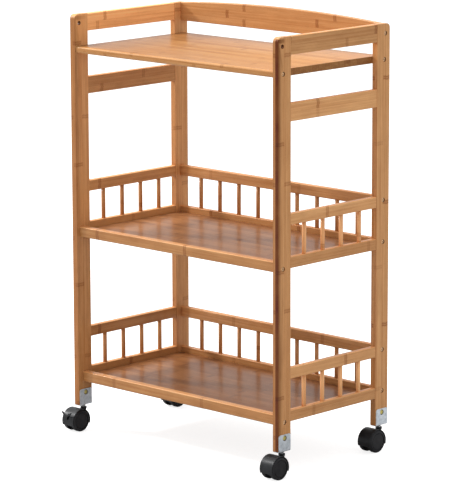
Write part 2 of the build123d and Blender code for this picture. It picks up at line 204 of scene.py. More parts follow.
def bamboo(name, light, dark, mark, contrast=0.25, gloss=0.12, sheen=0.15, scatter=0.0):
    """Laminated bamboo under a clear satin lacquer, its nodes scattered this far along the strips."""
    material = bpy.data.materials.new(name)
    material.use_nodes = True
    tree = material.node_tree
    shader = tree.nodes["Principled BSDF"]
    grain, marks, tone = (
        node(tree, "Attribute", attribute_name=key).outputs for key in ("grain", "marks", "tone"))
    strips = tree.nodes.new("ShaderNodeGroup")
    strips.node_tree = lamination
    tree.links.new(grain["Vector"], strips.inputs["Grain"])
    tree.links.new(marks["Vector"], strips.inputs["Marks"])
    tree.links.new(tone["Vector"], strips.inputs["Tone"])
    for label, value in (("Light", light), ("Dark", dark), ("Node Colour", mark),
                         ("Contrast", contrast), ("Node Spacing", NODE_SPACING), ("Scatter", scatter)):
        strips.inputs[label].default_value = value
    bump = node(tree, "Bump", {"Strength": 0.25, "Distance": 0.0004, "Height": strips.outputs["Height"]})
    tree.links.new(strips.outputs["Colour"], shader.inputs["Base Color"])
    tree.links.new(strips.outputs["Roughness"], shader.inputs["Roughness"])
    tree.links.new(bump.outputs[0], shader.inputs["Normal"])
    shader.inputs["Specular IOR Level"].default_value = sheen
    shader.inputs["Coat Weight"].default_value = gloss
    shader.inputs["Coat Roughness"].default_value = 0.1
    return material


honey_bamboo = bamboo("honey bamboo", srgb(209, 157, 104), srgb(175, 116, 67), srgb(128, 66, 24))


def show(name, mesh):
    """A new object with this mesh."""
    piece = bpy.data.objects.new(name, mesh)
    bpy.context.scene.collection.objects.link(piece)
    return piece


def from_bmesh(name, bm):
    """A new object from a bmesh, its faces turned outwards."""
    bmesh.ops.recalc_face_normals(bm, faces=bm.faces)
    mesh = bpy.data.meshes.new(name)
    bm.to_mesh(mesh)
    bm.free()
    return show(name, mesh)


def settle(piece):
    """Work the piece's modifiers into its mesh and take them off."""
    seen = piece.evaluated_get(bpy.context.evaluated_depsgraph_get())
    mesh = bpy.data.meshes.new_from_object(seen)
    piece.modifiers.clear()
    rough = piece.data
    piece.data = mesh
    bpy.data.meshes.remove(rough)
    return piece


def smooth(piece, angle=FACING_ANGLE):
    """Shade the flats flat and the eased edges round."""
    mesh = piece.data
    mesh.polygons.foreach_set("use_smooth", [True] * len(mesh.polygons))
    mesh.set_sharp_from_angle(angle=angle)
    piece.modifiers.new("even faces", "WEIGHTED_NORMAL").keep_sharp = True
    return settle(piece)


def combine(piece, operation, *tools):
    """Join other solids to a piece, or cut them out of it."""
    for tool in tools:
        modifier = piece.modifiers.new(operation.lower(), "BOOLEAN")
        modifier.operation = operation
        modifier.object = tool
        modifier.solver = "EXACT"
    settle(piece)
    for tool in tools:
        bpy.data.objects.remove(tool)
    return piece


def place(axes, along, across, through):
    """A point given along, across and through a piece, as x, y and z."""
    point = [0.0, 0.0, 0.0]
    for axis, value in zip(axes, (along, across, through)):
        point["xyz".index(axis)] = value
    return point


def close_rings(bm, rings):
    """Walls from ring to ring of points, and a face over each end."""
    for near, far in zip(rings, rings[1:]):
        for k in range(len(near)):
            bm.faces.new((near[k - 1], near[k], far[k], far[k - 1]))
    for ring in (rings[0], rings[-1]):
        bm.faces.new(ring)


def bar(name, axes, stations, ease=(EASE, EASE), crown=SAWN):
    """A bar through rectangles, each given as a place along it and its limits across and through.

    ease is the radius of the long edges on the low and on the high side across the bar, and crown
    that of the edges round its far end that run across it.
    """
    bm = bmesh.new()
    rings = []
    for along, across, through in stations:
        corners = [(across[i], through[j]) for i, j in ((0, 0), (1, 0), (1, 1), (0, 1))]
        rings.append([bm.verts.new(place(axes, along, *corner)) for corner in corners])
    close_rings(bm, rings)
    bmesh.ops.recalc_face_normals(bm, faces=bm.faces)
    widest = max(*ease, crown)
    weight = bm.edges.layers.float.new("bevel_weight_edge")
    for near, far in zip(rings, rings[1:]):
        for k in range(4):
            bm.edges.get((near[k], far[k]))[weight] = ease[k in (1, 2)] / widest
    for ring, radius in ((rings[0], SAWN), (rings[-1], crown)):
        for k in range(4):
            edge = bm.edges.get((ring[k - 1], ring[k]))
            if edge.calc_face_angle() > 1.0:
                edge[weight] = (radius if k % 2 else SAWN) / widest
    piece = from_bmesh(name, bm)
    bevel = piece.modifiers.new("eased edges", "BEVEL")
    bevel.limit_method = "WEIGHT"
    bevel.width = widest
    bevel.segments = 5
    return settle(piece)


def lay_grain(piece, axes, strips, layers, marks, number, tone=0.0, bores=()):
    """Store where each point lies in the lamination, for the bamboo materials to read.

    tone makes the piece lighter or darker, painted light and shade included: one value, or a function
    that gives one or two for each point, where two are for the even and the odd strips. bores are holes
    along X, as the y and z of their middle and their radius: their walls are painted dark, for the shade
    in the hole and its bare wood.
    """
    mesh = piece.data
    points = np.empty(len(mesh.vertices) * 3, np.float32)
    mesh.vertices.foreach_get("co", points)
    points = points.reshape(-1, 3)
    low, high = points.min(0), points.max(0)
    along, across, through = ("xyz".index(axis) for axis in axes)

    def share(axis, count):
        """The place between the two faces of an axis, counted in strips and kept off the faces."""
        return ((points[:, axis] - low[axis]) / (high[axis] - low[axis]) * 0.998 + 0.001) * count

    middle = (low[along] + high[along]) / 2
    grain = np.stack([points[:, along] - middle, share(across, strips), share(through, layers)], 1)
    tones = np.zeros((len(points), 3))
    tones[:, :2] = tone(points) if callable(tone) else tone
    corners = np.empty(len(mesh.loops), np.int32)
    mesh.loops.foreach_get("vertex_index", corners)
    tones = tones[corners]
    for y, z, radius in bores:
        inside = np.hypot(points[:, 1] - y, points[:, 2] - z) < radius + 0.1 * SAWN
        for face in mesh.polygons:
            if inside[list(face.vertices)].all():
                tones[face.loop_start:face.loop_start + face.loop_total] = BORE_SHADE_AND_BARE_WOOD
    for label, domain, values in (
        ("grain", "POINT", grain),
        ("marks", "POINT", np.tile((*marks, number), (len(points), 1))),
        ("tone", "CORNER", tones),
    ):
        stored = mesh.attributes.new(label, "FLOAT_VECTOR", domain)
        stored.data.foreach_set("vector", values.astype(np.float32).ravel())


def mount(piece, cad_node, material, body="frame"):
    """Give a finished piece its material, its body and the CAD node that it stands for."""
    piece.data.materials.clear()
    piece.data.materials.append(material)
    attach(piece, body)
    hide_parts(cad_node)


def solids_of(cad_node):
    """Lowest and highest corner of each separate solid in a CAD node that groups several."""
    bm = bmesh.new()
    bm.from_mesh(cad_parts[cad_node].data)
    bmesh.ops.remove_doubles(bm, verts=bm.verts, dist=1e-6)
    waiting = set(bm.verts)
    found = []
    while waiting:
        edge_of_search = [waiting.pop()]
        points = []
        while edge_of_search:
            vert = edge_of_search.pop()
            points.append(vert.co.copy())
            for edge in vert.link_edges:
                other = edge.other_vert(vert)
                if other in waiting:
                    waiting.remove(other)
                    edge_of_search.append(other)
        corners = [Vector([pick(p[i] for p in points) for i in range(3)]) for pick in (min, max)]
        found.append(corners)
    bm.free()
    return sorted(found, key=lambda box: tuple(round(value, 4) for value in box[0]))


def lathe(name, axis, profile, segments=48):
    """A turned solid: places along an axis through the origin and the radius at each, end to end."""
    bm = bmesh.new()
    rings = []
    for along, radius in profile:
        if radius == 0:
            rings.append([bm.verts.new(place(axis, along, 0, 0))])
            continue
        turns = [tau * k / segments for k in range(segments)]
        rings.append([bm.verts.new(place(axis, along, radius * cos(a), radius * sin(a))) for a in turns])
    for near, far in zip(rings, rings[1:]):
        for k in range(segments):
            corners = [near[k - 1], near[k], far[k], far[k - 1]] if len(near) > 1 and len(far) > 1 else (
                [near[0], far[k], far[k - 1]] if len(near) == 1 else [near[k - 1], near[k], far[0]])
            bm.faces.new(corners)
    return from_bmesh(name, bm)


def rod(name, axes, start, stop, radius, segments=48):
    """A plain round solid along the first of the axes."""
    return lathe(name, axes, [(start, 0), (start, radius), (stop, radius), (stop, 0)], segments)


def mirrored(piece):
    """Turn the piece round to face the other way along X, its faces still outwards."""
    piece.data.transform(Matrix.Scale(-1, 4, (1, 0, 0)))
    piece.data.flip_normals()


def moved(piece, *offset):
    """The piece with its mesh moved."""
    piece.data.transform(Matrix.Translation(offset))
    return piece


POST_CORNER = 0.009  # radius of the outer top corner
CORNER_STEPS = 8
SCREW_HEAD = 0.0036  # radius of a frame screw's head
SCREW_HEAD_DEEP = 0.0026
SCREW_SHANK = 0.002
COUNTERSINK = 0.0006  # clearance round the head
SINK = 0.0012  # depth of the head below the wood
GROOVE = 0.0012  # depth of the clearance below the head's face
SPARE_HOLE = 0.0040  # radius, 1.2 mm more than that of the CAD post's hole
SPARE_HOLE_Z = 0.781
SPARE_REACH = 0.02  # half the length of the drill, well past both faces
SEAT = 0.0050  # radius of the hole in the bracket and the wood round each bracket screw's head
POCKET = 0.0014  # depth of that room in the wood

screw_boxes = solids_of("frame_screws")
bracket_screws = solids_of("bracket_screws")


def drill(side, face, low, high, radius, shank):
    """The room of one screw, as a solid on its place: its head's hole, a cone below and its shank's."""
    mouth = 0.002  # the solid stands out of the wood by this
    deep = SINK + SCREW_HEAD_DEEP
    profile = [(-mouth, 0), (-mouth, radius), (SINK + GROOVE, radius), (deep, shank), (high.x - low.x, shank)]
    hole = lathe("drill", "xyz", profile + [(high.x - low.x, 0)], 24)
    if side > 0:
        mirrored(hole)
    return moved(hole, face, (low.y + high.y) / 2, (low.z + high.z) / 2)


def post_painted_shade_and_edge_tones(foot, head, inner=None, outer=None):
    """Painted shade and light from a post's foot to its head, darker towards the foot, and the tones of the
    two layers in its front edge.
    """
    def tones(points):
        height = points[:, 2] / points[:, 2].max()
        sides = np.repeat((foot + (head - foot) * height)[:, None], 2, 1)
        if inner is None:
            return sides
        on_edge = points[:, 1] < points[:, 1].min() + 0.9 * EASE
        return np.where(on_edge[:, None], (inner, outer), sides)
    return tones


# each post's node marks and tones; the tones from foot to head are painted shade, darker towards the foot
post_looks = {
    ("front", "right"): ((0.112, -0.046), post_painted_shade_and_edge_tones(0.14, 0.18, -0.06, -0.7)),
    ("rear", "right"): ((0.045, -0.075), post_painted_shade_and_edge_tones(0.14, 0.22)),
    ("front", "left"): ((-0.05, 0.09), post_painted_shade_and_edge_tones(-0.2, 0.5, -0.08, -0.12)),
    ("rear", "left"): ((0.02, 0.13), post_painted_shade_and_edge_tones(-0.1, 0.36)),
}
for number, ((end, side), (marks, tone)) in enumerate(post_looks.items()):
    cad_node = f"{end}_{side}_post"
    low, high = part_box(cad_node)
    front = end == "front"
    stations = [(low.z, (low.y, high.y), (low.x, high.x))]
    for step in range(CORNER_STEPS + 1):
        turn = pi / 2 * step / CORNER_STEPS
        inset = POST_CORNER * (1 - cos(turn))
        limits = (low.y + inset, high.y) if front else (low.y, high.y - inset)
        stations.append((high.z - POST_CORNER + POST_CORNER * sin(turn), limits, (low.x, high.x)))
    post = bar(f"{cad_node}_finished", "zyx", stations, crown=EASE)
    outward = 1 if side == "right" else -1
    face = high.x if outward > 0 else low.x
    holes, bores = [], []
    for box_low, box_high in screw_boxes:
        inside = low.y < box_low.y < high.y and box_low.x * outward > 0
        if inside:
            holes.append(drill(outward, face, box_low, box_high, SCREW_HEAD + COUNTERSINK, SCREW_SHANK))
            middle = (box_low + box_high) / 2
            bores.append((middle.y, middle.z, SCREW_HEAD + COUNTERSINK))
    for box_low, box_high in bracket_screws:
        middle = (box_low + box_high) / 2
        if low.y < middle.y < high.y and abs(middle.x - (low.x + high.x) / 2) < high.x - low.x:
            flange = high.x if middle.x > (low.x + high.x) / 2 else low.x
            holes.append(moved(rod("pocket", "xyz", -POCKET, POCKET, SEAT, 24), flange, middle.y, middle.z))
            bores.append((middle.y, middle.z, SEAT))
    if front:
        spare_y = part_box("front_left_post")[0].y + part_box("rear_left_post")[1].y - (
            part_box("back_top_board")[0].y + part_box("back_top_board")[1].y) / 2
        bore = rod("bore", "xyz", -SPARE_REACH, SPARE_REACH, SPARE_HOLE, 24)
        holes.append(moved(bore, (low.x + high.x) / 2, spare_y, SPARE_HOLE_Z))
        bores.append((spare_y, SPARE_HOLE_Z, SPARE_HOLE))
    combine(post, "DIFFERENCE", *holes)
    smooth(post)
    lay_grain(post, "zyx", 2, 2, marks, 3 + number, tone, bores)
    mount(post, cad_node, honey_bamboo)


# ---------------------------------------------------------------------------- side frame rails
# Six rails stand between the posts of each side: a tall top rail and cross rail two strips high,
# and the lower and upper rail of each basket, one strip high. They are bamboo board 11 mm thick
# with eased long edges, butted against the posts and held by hidden dowels and glue.
rail_marks = {
    "right_top_rail": (0.112, 0.033),
    "right_cross_rail": (-0.044, -0.044),
    "left_top_rail": (0.160, 0.140),
    "left_cross_rail": (0.03, -0.08),
}
TOP_PAINTED_LIGHT = 0.6  # painted highlight: the upper face of a rail is coloured this much lighter


def painted_top_light(tone, ease=EASE):
    """Tones for a rail with its upper face painted lighter than its sides, a painted highlight where the light
    falls.
    """
    def tones(points):
        return np.where(points[:, 2:] > points[:, 2].max() - 0.5 * ease, tone + TOP_PAINTED_LIGHT, tone)
    return tones


# tones of each rail, which also paint light and shade: lighter on the right rails and on the left top rail
# where more light falls, darker low inside the cart
rail_tones_and_painted_light = {
    "right_top_rail": 0.04,
    "right_cross_rail": 0.36,
    "right_middle_upper_rail": 0.3,
    "right_bottom_upper_rail": 0.22,
    "right_bottom_lower_rail": 0.08,
    "right_middle_lower_rail": 0.08,
    "left_top_rail": 0.85,
    "left_middle_upper_rail": 0.06,
    "left_bottom_upper_rail": -0.2,
    "left_bottom_lower_rail": -0.2,
}
rail_kinds = ["top_rail", "cross_rail"]
rail_kinds += [f"{tier}_{level}_rail" for tier in ("middle", "bottom") for level in ("lower", "upper")]
side_rails = [f"{side}_{kind}" for side in ("left", "right") for kind in rail_kinds]
for number, cad_node in enumerate(side_rails):
    low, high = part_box(cad_node)
    across, through = (low.z, high.z), (low.x, high.x)
    rail = bar(f"{cad_node}_finished", "yzx", [(low.y, across, through), (high.y, across, through)])
    smooth(rail)
    strips = 2 if high.z - low.z > 1.5 * STRIP else 1
    stray = 0.13 * sin(5.1 * number)
    marks = rail_marks.get(cad_node, (stray, stray + 0.09))
    lay_grain(rail, "yzx", strips, 2, marks, 11 + number, painted_top_light(rail_tones_and_painted_light.get(cad_node, 0.0)))
    mount(rail, cad_node, honey_bamboo)


# ---------------------------------------------------------------------------- back board
# The board behind the top shelf is cut from the same laminated stock, three strips high, with its
# top edge sawn to a shallow arch that stands above the posts. It is screwed between the rear posts.
ARCH_STEPS = 48
low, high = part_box("back_top_board")
post_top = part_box("rear_left_post")[1].z
half_width = (high.x - low.x) / 2
rise = high.z - post_top
arch_radius = (half_width**2 + rise**2) / (2 * rise)
stations = []
for step in range(ARCH_STEPS + 1):
    x = -half_width + 2 * half_width * step / ARCH_STEPS
    top = high.z - arch_radius + (arch_radius**2 - x**2) ** 0.5
    stations.append((x, (low.z, top), (low.y, high.y)))
back_board = bar("back_top_board_finished", "xzy", stations)
smooth(back_board)
# painted light: the back board is coloured lighter, where light bounces off the top shelf
BACK_BOARD_PAINTED_LIGHT = 0.06
lay_grain(back_board, "xzy", 3, 2, (-0.0846, -0.129), 31, BACK_BOARD_PAINTED_LIGHT)
mount(back_board, "back_top_board", honey_bamboo)


# ---------------------------------------------------------------------------- back and front rails
# Each basket has a lower and an upper rail across the back, and a heavier rail with well rounded
# edges across the open front. A groove in the lower rail and in the front rail holds the shelf.
FRONT_EASE = 0.003
FRONT_TONE = -0.14
back_marks = {"middle": (0.06, 0.2), "bottom": (-0.11, 0.17)}
# tones of each back rail, which also paint light and shade: the bottom lower rail darker, the middle upper
# rail lighter
back_rail_tones_and_painted_light = {
    ("middle", "lower"): 0.0,
    ("middle", "upper"): 0.06,
    ("bottom", "lower"): -0.1,
    ("bottom", "upper"): 0.0,
}
for number, (tier, marks) in enumerate(back_marks.items()):
    for level in ("lower", "upper"):
        cad_node = f"back_{tier}_{level}_rail"
        low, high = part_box(cad_node)
        across, through = (low.z, high.z), (low.y, high.y)
        rail = bar(f"{cad_node}_finished", "xzy", [(low.x, across, through), (high.x, across, through)])
        smooth(rail)
        tone = painted_top_light(back_rail_tones_and_painted_light[tier, level])
        lay_grain(rail, "xzy", 1, 2, marks, 37 + 2 * number + (level == "upper"), tone)
        mount(rail, cad_node, honey_bamboo)
front_marks = {"middle": (0.0246, 0.0246), "bottom": (0.062, 0.062)}
for number, (tier, marks) in enumerate(front_marks.items()):
    cad_node = f"{tier}_front_rail"
    low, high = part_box(cad_node)
    across, through = (low.z, high.z), (low.y, high.y)
    ends = [(low.x, across, through), (high.x, across, through)]
    rail = bar(f"{cad_node}_finished", "xzy", ends, (FRONT_EASE, FRONT_EASE))
    smooth(rail)
    lay_grain(rail, "xzy", 1, 1, marks, 43 + number, painted_top_light(FRONT_TONE, FRONT_EASE))
    mount(rail, cad_node, honey_bamboo)


# ---------------------------------------------------------------------------- shelves
# The top shelf is a 13 mm bamboo board with a rounded front nose, screwed between the posts. The
# two lower shelves are 8 mm panels let into their rails. Strips run across the width of the cart,
# under the same satin lacquer as the frame.
SHELF_NOSE = 0.0045
DARK_END = -0.35  # tone of the sawn right end
SHELF_LEFT_PAINTED_SHADE = -0.36  # painted shade and light across the upper face: its tone at the left and at the right
SHELF_RIGHT_PAINTED_LIGHT = 0.02
NOSE_LIGHT = 0.14  # tone of the nose and of the other faces


def top_shelf_painted_light_and_tones(points):
    """The top shelf's tones: painted light that makes its upper face lighter towards the right, and a darker
    right end.
    """
    x, z = points[:, :1], points[:, 2:]
    share = (x - x.min()) / (x.max() - x.min())
    face = np.where(z > z.max() - SAWN, SHELF_LEFT_PAINTED_SHADE + (SHELF_RIGHT_PAINTED_LIGHT - SHELF_LEFT_PAINTED_SHADE) * share, NOSE_LIGHT)
    return np.where(x > x.max() - 0.5 * SAWN, DARK_END, face)


top_bamboo = bamboo(
    "top shelf bamboo", srgb(202, 152, 98), srgb(166, 110, 62), srgb(124, 68, 26), 0.8, 0.12, 0.12, 0.23)
panel_bamboo = bamboo(
    "panel bamboo", srgb(190, 136, 90), srgb(152, 100, 62), srgb(112, 66, 34), 0.6, 0.1, 0.2, 0.23)
# the lower panels are coloured darker, the bottom one most: painted shade under the shelves above
shelf_tones_and_painted_light = {"top": top_shelf_painted_light_and_tones, "middle": -0.14, "bottom": -0.32}
for number, (tier, tone) in enumerate(shelf_tones_and_painted_light.items()):
    cad_node = f"{tier}_shelf"
    low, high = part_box(cad_node)
    across, through = (low.y, high.y), (low.z, high.z)
    ends = [(low.x, across, through), (high.x, across, through)]
    shelf = bar(f"{cad_node}_finished", "xyz", ends, (SHELF_NOSE, EASE) if tier == "top" else (SAWN, SAWN))
    smooth(shelf)
    strips = round((high.y - low.y) / STRIP)
    lay_grain(shelf, "xyz", strips, 2, (0.07 * number - 0.05, 0.19 * number + 0.03), 51 + number, tone)
    top = tier == "top"
    mount(shelf, cad_node, top_bamboo if top else panel_bamboo)


# ---------------------------------------------------------------------------- spindles
# Round rods 8 mm thick, turned from bamboo, stand in blind holes between the two rails of each
# basket: four in each side and nine across the back.
SPINDLE_SIDES = 24


def tree_input(tree, label, kind, value=None):
    """A named input of a Geometry Nodes tree, as its identifier."""
    made = tree.interface.new_socket(label, in_out="INPUT", socket_type="NodeSocket" + kind)
    if value is not None:
        made.default_value = value
    return made.identifier


def spindle_row_tree():
    """A row of upright rods, each with its own place in the lamination, joined to one mesh."""
    tree = bpy.data.node_groups.new("Row of spindles", "GeometryNodeTree")
    names = {}
    for label, kind in (("Count", "Int"), ("First", "Vector"), ("Pitch", "Vector"), ("Radius", "Float"),
                        ("Length", "Float"), ("Seed", "Int"), ("Tone", "Vector"), ("Wood", "Material")):
        names[label] = tree_input(tree, label, kind)
    tree.interface.new_socket("Geometry", in_out="OUTPUT", socket_type="NodeSocketGeometry")
    given = tree.nodes.new("NodeGroupInput").outputs
    out = tree.nodes.new("NodeGroupOutput").inputs
    line = step_node(tree, "GeometryNodeMeshLine",
                     {"Count": given["Count"], "Start Location": given["First"], "Offset": given["Pitch"]})
    rod = step_node(tree, "GeometryNodeMeshCylinder",
                    {"Vertices": SPINDLE_SIDES, "Radius": given["Radius"], "Depth": given["Length"]})
    rounded = step_node(tree, "GeometryNodeSetShadeSmooth", {0: rod.outputs["Mesh"], 1: rod.outputs["Side"]})
    spot = step_node(tree, "GeometryNodeInputPosition")
    x, y, z = node(tree, "SeparateXYZ", {0: spot.outputs[0]}).outputs
    wide = calc(tree, "MULTIPLY", given["Radius"], 2.4)
    across, through = (calc(tree, "ADD", calc(tree, "DIVIDE", side, wide), 0.5) for side in (x, y))
    marked = step_node(tree, "GeometryNodeStoreNamedAttribute",
                       {"Geometry": rounded.outputs[0], "Name": "grain",
                        "Value": joined(tree, z, across, through)},
                       data_type="FLOAT_VECTOR", domain="POINT")
    rods = step_node(tree, "GeometryNodeInstanceOnPoints",
                     {"Points": line.outputs[0], "Instance": marked.outputs[0]})
    own = step_node(tree, "FunctionNodeRandomValue",
                    {0: (-0.12, -0.12, 0.0), 1: (0.12, 0.12, 90.0), "Seed": given["Seed"]},
                    data_type="FLOAT_VECTOR")
    numbered = step_node(tree, "GeometryNodeStoreNamedAttribute",
                         {"Geometry": rods.outputs[0], "Name": "marks", "Value": own.outputs[0]},
                         data_type="FLOAT_VECTOR", domain="INSTANCE")
    toned = step_node(tree, "GeometryNodeStoreNamedAttribute",
                      {"Geometry": numbered.outputs[0], "Name": "tone", "Value": given["Tone"]},
                      data_type="FLOAT_VECTOR", domain="INSTANCE")
    real = step_node(tree, "GeometryNodeRealizeInstances", {0: toned.outputs[0]})
    done = step_node(tree, "GeometryNodeSetMaterial",
                     {"Geometry": real.outputs[0], "Material": given["Wood"]})
    tree.links.new(done.outputs[0], out[0])
    return tree, names


def grown(name, tree, settings, mesh=None):
    """A piece made by a Geometry Nodes tree, as a plain mesh."""
    piece = show(name, mesh or bpy.data.meshes.new(name))
    modifier = piece.modifiers.new("made by nodes", "NODES")
    modifier.node_group = tree
    for identifier, value in settings.items():
        modifier[identifier] = value
    return settle(piece)


spindle_bamboo = bamboo(
    "spindle bamboo", srgb(218, 164, 112), srgb(184, 122, 74), srgb(136, 76, 32), 0.4, 0.12)
spindle_tree, spindle_inputs = spindle_row_tree()
# painted light: the right rows are coloured lighter, where light falls on the outer side of the cart
spindle_tones_and_painted_light = {"left": -0.05, "right": 0.5, "back": -0.05}
spindle_nodes = [f"{row}_{tier}_spindles" for row in spindle_tones_and_painted_light for tier in ("middle", "bottom")]
for number, cad_node in enumerate(spindle_nodes):
    tone = spindle_tones_and_painted_light[cad_node.split("_")[0]]
    rods = solids_of(cad_node)
    centres = [(low + high) / 2 for low, high in rods]
    low, high = rods[0]
    settings = {
        "Count": len(rods),
        "First": centres[0],
        "Pitch": (centres[-1] - centres[0]) / (len(rods) - 1),
        "Radius": (high.x - low.x) / 2,
        "Length": high.z - low.z,
        "Seed": 20 + number,
        "Tone": (tone, tone, 0.0),
        "Wood": spindle_bamboo,
    }
    settings = {spindle_inputs[key]: value for key, value in settings.items()}
    row = grown(f"{cad_node}_finished", spindle_tree, settings)
    mount(row, cad_node, spindle_bamboo)


# ---------------------------------------------------------------------------- dowels
# Hardwood dowels glued into the ends of the rails keep them from turning. They are wholly inside
# the wood, so the dowels of the CAD frame stay as they are and only get bare wood.
def dowel_wood():
    """Pale hardwood with its grain along each axis seen as long soft streaks."""
    material = bpy.data.materials.new("dowel wood")
    material.use_nodes = True
    tree = material.node_tree
    shader = tree.nodes["Principled BSDF"]
    spot = node(tree, "TexCoord").outputs["Object"]
    streaks = clouds(tree, spot, 900.0, 3.0)
    colour = tinted(tree, streaks, srgb(214, 186, 146), srgb(188, 154, 112))
    tree.links.new(colour, shader.inputs["Base Color"])
    shader.inputs["Roughness"].default_value = 0.7
    return material


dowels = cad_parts["joint_dowels"]
dowels.data.materials.clear()
dowels.data.materials.append(dowel_wood())


# ---------------------------------------------------------------------------- screws
# Screws with hexagon sockets hold the shelves, back board, back rails and front rails to the posts.
# Smaller cross-head screws in yellow zinc hold the caster brackets. Each kind is one turned head
# and shank, set on its places by Geometry Nodes.
BRACKET_HEAD = 0.0036
BRACKET_HEAD_DEEP = 0.0014
BRACKET_SINK = 0.0008
BRACKET_SHANK = 0.0016
HEX_HALF = 0.0013  # half the width across the flats
CROSS_HALF = 0.0023
CROSS_ARM = 0.0005
SCREW_STEPS = 48


def hexagon(turn):
    """Distance from the middle of a hexagonal socket to its wall."""
    return HEX_HALF / cos((turn + pi / 6) % (pi / 3) - pi / 6)


def cross(turn):
    """Distance from the middle of a cross recess to its wall."""
    reach, side = abs(cos(turn)), abs(sin(turn))
    arms = []
    for one, two in ((reach, side), (side, reach)):
        arms.append(min(CROSS_HALF / max(one, 1e-6), CROSS_ARM / max(two, 1e-6)))
    return max(arms)


def screw_shape(name, head, deep, shank, length, recess, recess_deep, sink):
    """A screw with its face sunk below the origin and its shank towards -X, closed all round."""
    bm = bmesh.new()
    turns = [tau * k / SCREW_STEPS for k in range(SCREW_STEPS)]

    def ring(x, radius):
        return [bm.verts.new((x, radius(a) * cos(a), radius(a) * sin(a))) for a in turns]

    rim = 0.00025
    rings = [
        ring(-sink - recess_deep, lambda a: recess(a) * 0.8),
        ring(-sink, recess),
        ring(-sink, lambda a: head - rim),
        ring(-sink - rim, lambda a: head),
        ring(-sink - deep, lambda a: shank),
        ring(-length, lambda a: shank),
    ]
    close_rings(bm, rings)
    return smooth(from_bmesh(name, bm))


def finished(name, group, values, grain):
    """A material, and its shader, whose colour, roughness and relief a group gives from the place."""
    material = bpy.data.materials.new(name)
    material.use_nodes = True
    tree = material.node_tree
    shader = tree.nodes["Principled BSDF"]
    finish = tree.nodes.new("ShaderNodeGroup")
    finish.node_tree = group
    for label, value in values.items():
        finish.inputs[label].default_value = value
    tree.links.new(node(tree, "TexCoord").outputs["Object"], finish.inputs["Position"])
    tree.links.new(finish.outputs["Colour"], shader.inputs["Base Color"])
    tree.links.new(finish.outputs["Roughness"], shader.inputs["Roughness"])
    bump = node(tree, "Bump", {"Strength": grain, "Distance": 0.0001, "Height": finish.outputs["Height"]})
    tree.links.new(bump.outputs[0], shader.inputs["Normal"])
    return material, shader


def plated(name, light, dark, low_rough, high_rough, scale=260.0):
    """Plated steel: a clouded metal whose gloss changes over the surface."""
    values = {"Light": light, "Dark": dark, "Glossiest": low_rough, "Dullest": high_rough, "Scale": scale}
    material, shader = finished(name, plating, values, 0.2)
    shader.inputs["Metallic"].default_value = 1.0
    return material


def plating_group():
    """Clouds and fine scratches of plated sheet and screws, as colour, roughness and height."""
    tree, given, out = new_group(
        "Plating",
        {"Position": "Vector", "Light": "Color", "Dark": "Color", "Glossiest": "Float", "Dullest": "Float",
         "Scale": "Float"},
        {"Colour": "Color", "Roughness": "Float", "Height": "Float"},
    )
    cloud = clouds(tree, given["Position"], given["Scale"], 3.0, 0.6)
    x, y, z = node(tree, "SeparateXYZ", {0: given["Position"]}).outputs
    drawn = joined(tree, calc(tree, "MULTIPLY", x, 14.0), calc(tree, "MULTIPLY", y, 14.0), z)
    scratch = clouds(tree, drawn, given["Scale"], 2.0, 0.7)
    worn = calc(tree, "MULTIPLY_ADD", scratch, 0.4, calc(tree, "MULTIPLY", cloud, 0.6))
    rough = node(tree, "MapRange", {0: worn, 1: 0.3, 2: 0.7, 3: given["Glossiest"], 4: given["Dullest"]})
    tree.links.new(tinted(tree, ramp(tree, worn, 0.35, 0.65), given["Dark"], given["Light"]), out["Colour"])
    tree.links.new(rough.outputs[0], out["Roughness"])
    tree.links.new(scratch, out["Height"])
    return tree


plating = plating_group()
bronze_steel = plated("bronze plated steel", srgb(250, 216, 174), srgb(214, 172, 128), 0.35, 0.55)
yellow_zinc = plated("yellow zinc", srgb(244, 234, 160), srgb(212, 200, 116), 0.25, 0.45)


def fastener_tree():
    """The same screw on each point, turned by the point's facing, joined to one mesh."""
    tree = bpy.data.node_groups.new("Screws on points", "GeometryNodeTree")
    tree.interface.new_socket("Geometry", in_out="INPUT", socket_type="NodeSocketGeometry")
    names = {"Screw": tree_input(tree, "Screw", "Object"), "Metal": tree_input(tree, "Metal", "Material"),
             "Seed": tree_input(tree, "Seed", "Int")}
    tree.interface.new_socket("Geometry", in_out="OUTPUT", socket_type="NodeSocketGeometry")
    given = tree.nodes.new("NodeGroupInput").outputs
    out = tree.nodes.new("NodeGroupOutput").inputs
    screw = step_node(tree, "GeometryNodeObjectInfo", {"Object": given["Screw"]})
    facing = step_node(tree, "GeometryNodeInputNamedAttribute", {"Name": "facing"}, data_type="FLOAT")
    spin = step_node(tree, "FunctionNodeRandomValue", {2: 0.0, 3: tau, "Seed": given["Seed"]},
                     data_type="FLOAT")
    turn = joined(tree, spin.outputs[1], 0.0, facing.outputs[0])
    rows = step_node(tree, "GeometryNodeInstanceOnPoints",
                     {"Points": given["Geometry"], "Instance": screw.outputs["Geometry"], "Rotation": turn})
    real = step_node(tree, "GeometryNodeRealizeInstances", {0: rows.outputs[0]})
    done = step_node(tree, "GeometryNodeSetMaterial",
                     {"Geometry": real.outputs[0], "Material": given["Metal"]})
    tree.links.new(done.outputs[0], out[0])
    return tree, names


fasteners, fastener_inputs = fastener_tree()


